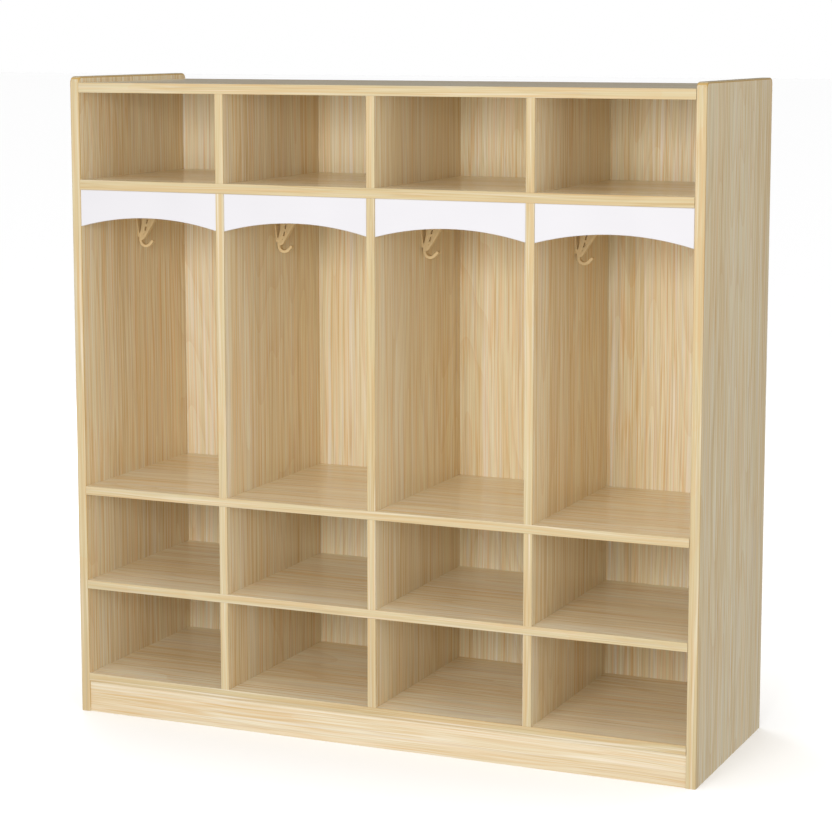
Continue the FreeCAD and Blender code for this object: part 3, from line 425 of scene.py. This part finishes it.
def outline(mesh, start, runs):
    """An outline in the XZ plane, closed from its end to its start. A run is a point to go
    straight to, or the centre of an arc and the angle it turns about Y. Returns the face that
    fills it."""
    last = bmesh.ops.create_vert(mesh, co=(start[0], 0, start[1]))["vert"][0]
    for target, *turn in runs:
        if turn:
            steps = max(LEAST_STEPS, round(abs(turn[0]) / DEGREES_A_STEP))
            made = bmesh.ops.spin(mesh, geom=[last], cent=(target[0], 0, target[1]),
                                  axis=(0, 1, 0), angle=math.radians(turn[0]), steps=steps)
            last = next(item for item in made["geom_last"] if isinstance(item, bmesh.types.BMVert))
        else:
            made = bmesh.ops.extrude_vert_indiv(mesh, verts=[last])
            last = made["verts"][0]
            last.co = (target[0], 0, target[1])
    bmesh.ops.remove_doubles(mesh, verts=mesh.verts, dist=TOUCHING)
    edges = [edge for edge in mesh.edges if edge.is_wire]
    ends = [vert for edge in edges for vert in edge.verts if len(vert.link_edges) == 1]
    edges += bmesh.ops.contextual_create(mesh, geom=ends)["edges"]
    return bmesh.ops.contextual_create(mesh, geom=edges)["faces"][0]


def thicken(mesh, face, near, far):
    """Turns a flat face in the XZ plane into a slab from near to far along Y."""
    bmesh.ops.translate(mesh, vec=(0, near, 0), verts=face.verts)
    made = bmesh.ops.extrude_face_region(mesh, geom=[face])["geom"]
    verts = [item for item in made if isinstance(item, bmesh.types.BMVert)]
    bmesh.ops.translate(mesh, vec=(0, far - near, 0), verts=verts)


def new_piece(name, mesh, material, node):
    """Hangs a finished mesh in the scene in place of its plain node."""
    bmesh.ops.recalc_face_normals(mesh, faces=mesh.faces)
    data = bpy.data.meshes.new(name)
    mesh.to_mesh(data)
    mesh.free()
    data.materials.append(material)
    piece = bpy.data.objects.new(name, data)
    bpy.context.collection.objects.link(piece)
    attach(piece, "root")
    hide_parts(node)
    return piece


COOL_WHITE, COAT_WHITE, COAT_PEEL, COAT_CLOUD = "#dcdadd", "#e0dee1", 2 * MM, 90 * MM


def white_lacquer():
    """Sprayed satin lacquer: cool white, with a fine orange peel and slow clouds in the coat."""
    material, coordinates = new_material("satin_white_lacquer")
    peel = add(material, "TexNoise", {"Vector": coordinates, "Scale": 1 / COAT_PEEL,
                                      "Detail": 2.0}).outputs[0]
    cloud = add(material, "TexNoise", {"Vector": coordinates, "Scale": 1 / COAT_CLOUD,
                                       "Detail": 1.0}).outputs[0]
    colour = add(material, "Mix", {SHARE: cloud, UNDER: linear(COOL_WHITE),
                                   OVER: linear(COAT_WHITE)}, data_type="RGBA").outputs[MIXED]
    rough = add(material, "MapRange", {"Value": peel, "To Min": 0.26, "To Max": 0.34})
    return finish(material, colour, rough.outputs["Result"], peel, 0.004 * MM)


lacquer = white_lacquer()
for bay in (1, 2, 3, 4):
    low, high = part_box(f"valance_{bay}")
    half = (high.x - low.x) / 2
    middle = (low.x + high.x) / 2
    radius = (half ** 2 + VALANCE_RISE ** 2) / (2 * VALANCE_RISE)
    sweep = 2 * math.degrees(math.asin(half / radius))
    arch = (middle, low.z + VALANCE_RISE - radius)
    mesh = bmesh.new()
    face = outline(mesh, (low.x, low.z), [(arch, sweep), ((high.x, high.z),),
                                          ((low.x, high.z),)])
    thicken(mesh, face, low.y, high.y)
    rims = [edge for edge in mesh.edges
            if abs(edge.verts[0].co.y - edge.verts[1].co.y) < TOUCHING]
    bmesh.ops.bevel(mesh, geom=rims, affect="EDGES", offset=VALANCE_ARRIS, segments=3,
                    profile=0.5, material=-1, clamp_overlap=True)
    new_piece(f"lacquered_valance_{bay}", mesh, lacquer, f"valance_{bay}")


# ---- coat hooks ----
# Each hook is one injection moulding in sand-coloured ABS: a shield-shaped plate, drawn here
# without its two countersunk holes, a bar that bows off it and curls into a J, and a prong that
# leans outward, cored out from one side so that the thick plastic cools without sinking.

# sizes in millimetres, in the hook's own frame: X off the wall, Z up from the foot of the J
HOOK_WIDTH, HOOK_BAR, HOOK_THROAT, HOOK_STANDOFF = 9, 5.2, 8.6, 2.4
HOOK_TIP, STEM_TOP, BOW_TOP, BOW = 8.4, 24, 84, 6
J_TURN, HALF_TURN = 135, 180
PRONG_FOOT, PRONG_TIP, PRONG_WIDTH = (13, 16), (48, 70.4), 5.1
PRONG_ROOT = ((7, 17), (7, 14))
WEB_WIDTH, WEB_FOOT = 8, (7, 14)
WEB_EDGE = ((13, 17), (39, 63), (34, 61), (28, 61.5), (20, 64), (10.6, 71), (11, 54), (7, 27))
# the pockets lean with the prong: a point on their inner side, and how far X goes for each Z
POCKET_FOOT, POCKET_LEAN = (9.5, 16), 0.25
POCKET_WIDTH, POCKET_HEIGHT, POCKET_DEPTH = 3, 8, 6
POCKETS_FROM = (18.4, 31.9, 45.4)
PLATE_FOOT, PLATE_SHOULDER, PLATE_TOP, PLATE_THICKNESS = 20, 64, 90, 3
PLATE_FOOT_HALF, PLATE_HALF, PLATE_CORNER, QUARTER_TURN = 4.5, 15, 8, 90
# how near to one level, and how square to Y, a face on the web's near side lies
LEVEL, FLAT = 1e-4, 0.9


def hook_bar(mesh):
    """The bowed bar and its J, as one slab."""
    outer = HOOK_THROAT + HOOK_BAR
    wall, face = HOOK_STANDOFF, HOOK_STANDOFF + HOOK_BAR
    centre = (wall + outer, outer)
    half = (BOW_TOP - STEM_TOP) / 2
    radius = (half ** 2 + BOW ** 2) / (2 * BOW)
    bow = math.degrees(2 * math.asin(half / radius))
    slant = math.sqrt(0.5)
    reach = [(centre[0] + slant * size, centre[1] - slant * size)
             for size in (outer, HOOK_THROAT)]
    tips = [(x + slant * HOOK_TIP, z + slant * HOOK_TIP) for x, z in reach]
    nose = ((tips[0][0] + tips[1][0]) / 2, (tips[0][1] + tips[1][1]) / 2)
    return outline(mesh, (wall, BOW_TOP), [
        ((wall - radius + BOW, STEM_TOP + half), bow), ((wall, outer),), (centre, -J_TURN),
        (tips[0],), (nose, -HALF_TURN), (reach[1],), (centre, J_TURN), ((face, STEM_TOP),),
        ((face - radius + BOW, STEM_TOP + half), -bow)])


def hook_prong(mesh):
    """The prong's outer bar, with a round tip."""
    lean = Vector((PRONG_TIP[0] - PRONG_FOOT[0], PRONG_TIP[1] - PRONG_FOOT[1])).normalized()
    across = Vector((-lean.y, lean.x)) * PRONG_WIDTH
    foot, tip = Vector(PRONG_FOOT), Vector(PRONG_TIP)
    nose = tip + across / 2
    return outline(mesh, tuple(foot), [(tuple(tip),), (tuple(nose), -HALF_TURN),
                                       (tuple(foot + across),), *zip(PRONG_ROOT)])


def hook_web(mesh):
    """The body of the prong between the bar and its outer edge, with a hollow top."""
    return outline(mesh, WEB_FOOT, zip(WEB_EDGE))


def score(mesh, level, point, normal):
    """Scores the faces that lie at one level along Y with a plane."""
    flat = [face for face in mesh.faces if abs(face.calc_center_median().y - level) < LEVEL]
    geometry = dict.fromkeys(item for face in flat for item in (face, *face.edges, *face.verts))
    bmesh.ops.bisect_plane(mesh, geom=list(geometry), plane_co=point, plane_no=normal)


def core_out(mesh):
    """Sinks the leaning pockets into the web's near side."""
    level = min(face.calc_center_median().y for face in mesh.faces)
    foot_x, foot_z = POCKET_FOOT
    for side in (foot_x, foot_x + POCKET_WIDTH):
        score(mesh, level, (side, 0, foot_z), (1, 0, -POCKET_LEAN))
    for low in POCKETS_FROM:
        for height in (low, low + POCKET_HEIGHT):
            score(mesh, level, (0, 0, height), (0, 0, 1))
    wanted = []
    for face in mesh.faces:
        middle = face.calc_center_median()
        across = middle.x - foot_x - POCKET_LEAN * (middle.z - foot_z)
        on_side = abs(face.normal.y) > FLAT and abs(middle.y - level) < LEVEL
        at_height = any(low < middle.z < low + POCKET_HEIGHT for low in POCKETS_FROM)
        if on_side and at_height and 0 < across < POCKET_WIDTH:
            wanted.append(face)
    made = bmesh.ops.extrude_discrete_faces(mesh, faces=wanted)["faces"]
    verts = dict.fromkeys(vert for face in made for vert in face.verts)
    bmesh.ops.translate(mesh, vec=(0, POCKET_DEPTH, 0), verts=list(verts))


def hook_plate(mesh):
    """The shield-shaped plate, drawn flat along X."""
    start_x, centre_z = PLATE_HALF - PLATE_CORNER, PLATE_TOP - PLATE_CORNER
    return outline(mesh, (-PLATE_FOOT_HALF, PLATE_FOOT), [
        ((PLATE_FOOT_HALF, PLATE_FOOT),), ((PLATE_HALF, PLATE_SHOULDER),),
        ((PLATE_HALF, centre_z),), ((start_x, centre_z), -QUARTER_TURN),
        ((-start_x, PLATE_TOP),), ((-start_x, centre_z), -QUARTER_TURN),
        ((-PLATE_HALF, PLATE_SHOULDER),)])


def joined(*meshes):
    """Several closed shells as one mesh."""
    whole = bmesh.new()
    for mesh in meshes:
        data = bpy.data.meshes.new("part")
        bmesh.ops.recalc_face_normals(mesh, faces=mesh.faces)
        mesh.to_mesh(data)
        mesh.free()
        whole.from_mesh(data)
        bpy.data.meshes.remove(data)
    return whole


def moulded_hook():
    """The whole moulding as one closed skin, in millimetres."""
    bar, prong, web, plate = (bmesh.new() for _ in range(4))
    thicken(bar, hook_bar(bar), -HOOK_WIDTH / 2, HOOK_WIDTH / 2)
    thicken(prong, hook_prong(prong), -HOOK_WIDTH / 2, HOOK_WIDTH / 2)
    thicken(web, hook_web(web), -WEB_WIDTH / 2, WEB_WIDTH / 2)
    core_out(web)
    thicken(plate, hook_plate(plate), -PLATE_THICKNESS, 0)
    # the plate is turned to lie against the wall
    turn = Matrix.Rotation(math.radians(90), 3, "Z")
    bmesh.ops.rotate(plate, cent=(0, 0, 0), matrix=turn, verts=plate.verts)
    return joined(bar, prong, web, plate)


SAND, SAND_PALE, SPARK_GRIT, FLOW_MARK = "#dcc190", "#e6cd9e", 0.6 * MM, 14 * MM


def sand_abs():
    """Moulded ABS with a fine spark-eroded texture that softens its shine, and flow marks."""
    material, coordinates = new_material("moulded_sand_abs")
    grit = add(material, "TexNoise", {"Vector": coordinates, "Scale": 1 / SPARK_GRIT,
                                      "Detail": 2.0}).outputs[0]
    flow = add(material, "TexNoise", {"Vector": coordinates, "Scale": 1 / FLOW_MARK,
                                      "Detail": 2.0, "Distortion": 1.5}).outputs[0]
    colour = add(material, "Mix", {SHARE: flow, UNDER: linear(SAND), OVER: linear(SAND_PALE)},
                 data_type="RGBA").outputs[MIXED]
    rough = add(material, "MapRange", {"Value": grit, "To Min": 0.34, "To Max": 0.5})
    return finish(material, colour, rough.outputs["Result"], grit, 0.02 * MM)


HOOK_VOXEL, MOULD_PASSES, MOULD_SHARE = 0.5 * MM, 4, 0.5
sand = sand_abs()
for bay in (1, 2, 3, 4):
    low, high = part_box(f"coat_hook_{bay}")
    place = Matrix.Translation((low.x, (low.y + high.y) / 2, low.z))
    mesh = moulded_hook()
    bmesh.ops.transform(mesh, matrix=place @ Matrix.Scale(MM, 4), verts=mesh.verts)
    hook = new_piece(f"moulded_coat_hook_{bay}", mesh, sand, f"coat_hook_{bay}")
    skin = hook.modifiers.new("one_skin", "REMESH")
    skin.mode = "VOXEL"
    skin.voxel_size = HOOK_VOXEL
    skin.use_smooth_shade = True
    soften = hook.modifiers.new("mould_radii", "SMOOTH")
    soften.iterations = MOULD_PASSES
    soften.factor = MOULD_SHARE


# ---- hook screws ----
# Two countersunk steel screws, zinc-plated, hold each hook to its upright or side panel. Their
# heads lie flush with the face of the hook's plate.

plated_steel("hook_screws", "#c2c4c4")


# ---- studio ----
# A plain pale floor in a white room. A broad soft key light stands in front, a weaker warm one
# on the right, and one behind on the left for the back. A high one lights the floor alone, so
# that it comes out as white as the room.

FLOOR_REACH, FLOOR_PALE, FLOOR_ROUGHNESS = 60, "#f4f4f4", 0.9
floor_mesh = bmesh.new()
bmesh.ops.create_grid(floor_mesh, x_segments=1, y_segments=1, size=FLOOR_REACH)
floor_data = bpy.data.meshes.new("floor")
floor_mesh.to_mesh(floor_data)
floor_mesh.free()
floor = bpy.data.objects.new("floor", floor_data)
bpy.context.collection.objects.link(floor)
floor_paint, _ = new_material("pale_floor")
finish(floor_paint, linear(FLOOR_PALE), FLOOR_ROUGHNESS)
floor_data.materials.append(floor_paint)
floor.visible_diffuse = False
floor.visible_glossy = False
floor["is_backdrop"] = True

# The room is plain white to the eye. As a light it is softer, and brightest in front, and in
# reflections it is dim.
ROOM_LIGHT = 0.65
FRONT_SHARE = 0.15
MIRRORED = 0.16
# the mix node's number sockets
ONE, OTHER = 2, 3
world = bpy.data.worlds.new("white_room")
world.use_nodes = True
world.node_tree.nodes.clear()
toward = add(world, "TexCoord").outputs["Generated"]
across = add(world, "SeparateXYZ", {"Vector": toward}).outputs["Y"]
light = add(world, "Math", {0: across, 1: -FRONT_SHARE, 2: ROOM_LIGHT}, operation="MULTIPLY_ADD")
seen = add(world, "LightPath").outputs["Is Camera Ray"]
glossy = add(world, "LightPath").outputs["Is Glossy Ray"]
light = add(world, "Mix", {SHARE: glossy, ONE: light.outputs[0], OTHER: MIRRORED},
            data_type="FLOAT")
strength = add(world, "Mix", {SHARE: seen, ONE: light.outputs[0], OTHER: 1.0},
               data_type="FLOAT")
room = add(world, "Background", {"Color": linear("#ffffff"), "Strength": strength.outputs[0]})
add(world, "OutputWorld", {"Surface": room.outputs[0]})
bpy.context.scene.world = world


def studio_light(name, kind, place, aim, power, **settings):
    """One soft light, pointed at a place on the unit, and not seen itself."""
    data = bpy.data.lights.new(name, kind)
    data.energy = power
    for setting, value in settings.items():
        setattr(data, setting, value)
    light = bpy.data.objects.new(name, data)
    light.location = place
    light.rotation_euler = (Vector(place) - Vector(aim)).to_track_quat("Z", "Y").to_euler()
    light.visible_camera = False
    bpy.context.collection.objects.link(light)
    return light


key_softbox = studio_light("key_softbox", "AREA", place=(0.3, -3.3, 1.3), aim=(0, 0, 0.6),
                           power=58, shape="RECTANGLE", size=1.6, size_y=1.2)
studio_light("right_softbox", "AREA", place=(3.6, -0.7, 1.1), aim=(0.6, 0, 0.6), power=13,
             shape="RECTANGLE", size=1.6, size_y=1.6, color=(1.0, 0.92, 0.80))
back_softbox = studio_light("back_softbox", "AREA", place=(-2.6, 2.8, 1.5), aim=(0, 0, 0.65),
                            power=40, shape="RECTANGLE", size=1.6, size_y=1.6)
for softbox in (key_softbox, back_softbox):
    softbox.visible_glossy = False
overhead = studio_light("floor_light", "SUN", place=(0, 0, 5), aim=(0, 0, 0), power=1.6,
                        angle=math.radians(60))
floor_only = bpy.data.collections.new("floor_only")
floor_only.objects.link(floor)
overhead.light_linking.receiver_collection = floor_only

# a long lens in front and to the right, above the unit's top, with its angles in degrees
LENS, SENSOR, FRAME_SHIFT = 103.75, 36, -0.06
CAMERA_PLACE, LOOKS_DOWN, LOOKS_LEFT = (1.7311, -3.9645, 1.2657), 7.945, 23.602
camera_data = bpy.data.cameras.new("camera")
camera_data.lens = LENS
camera_data.sensor_width = SENSOR
camera_data.shift_y = FRAME_SHIFT
camera = bpy.data.objects.new("camera", camera_data)
camera.location = CAMERA_PLACE
camera.rotation_euler = (math.radians(90 - LOOKS_DOWN), 0, math.radians(LOOKS_LEFT))
bpy.context.collection.objects.link(camera)
bpy.context.scene.camera = camera
bpy.context.scene.view_settings.view_transform = "Standard"

low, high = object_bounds()
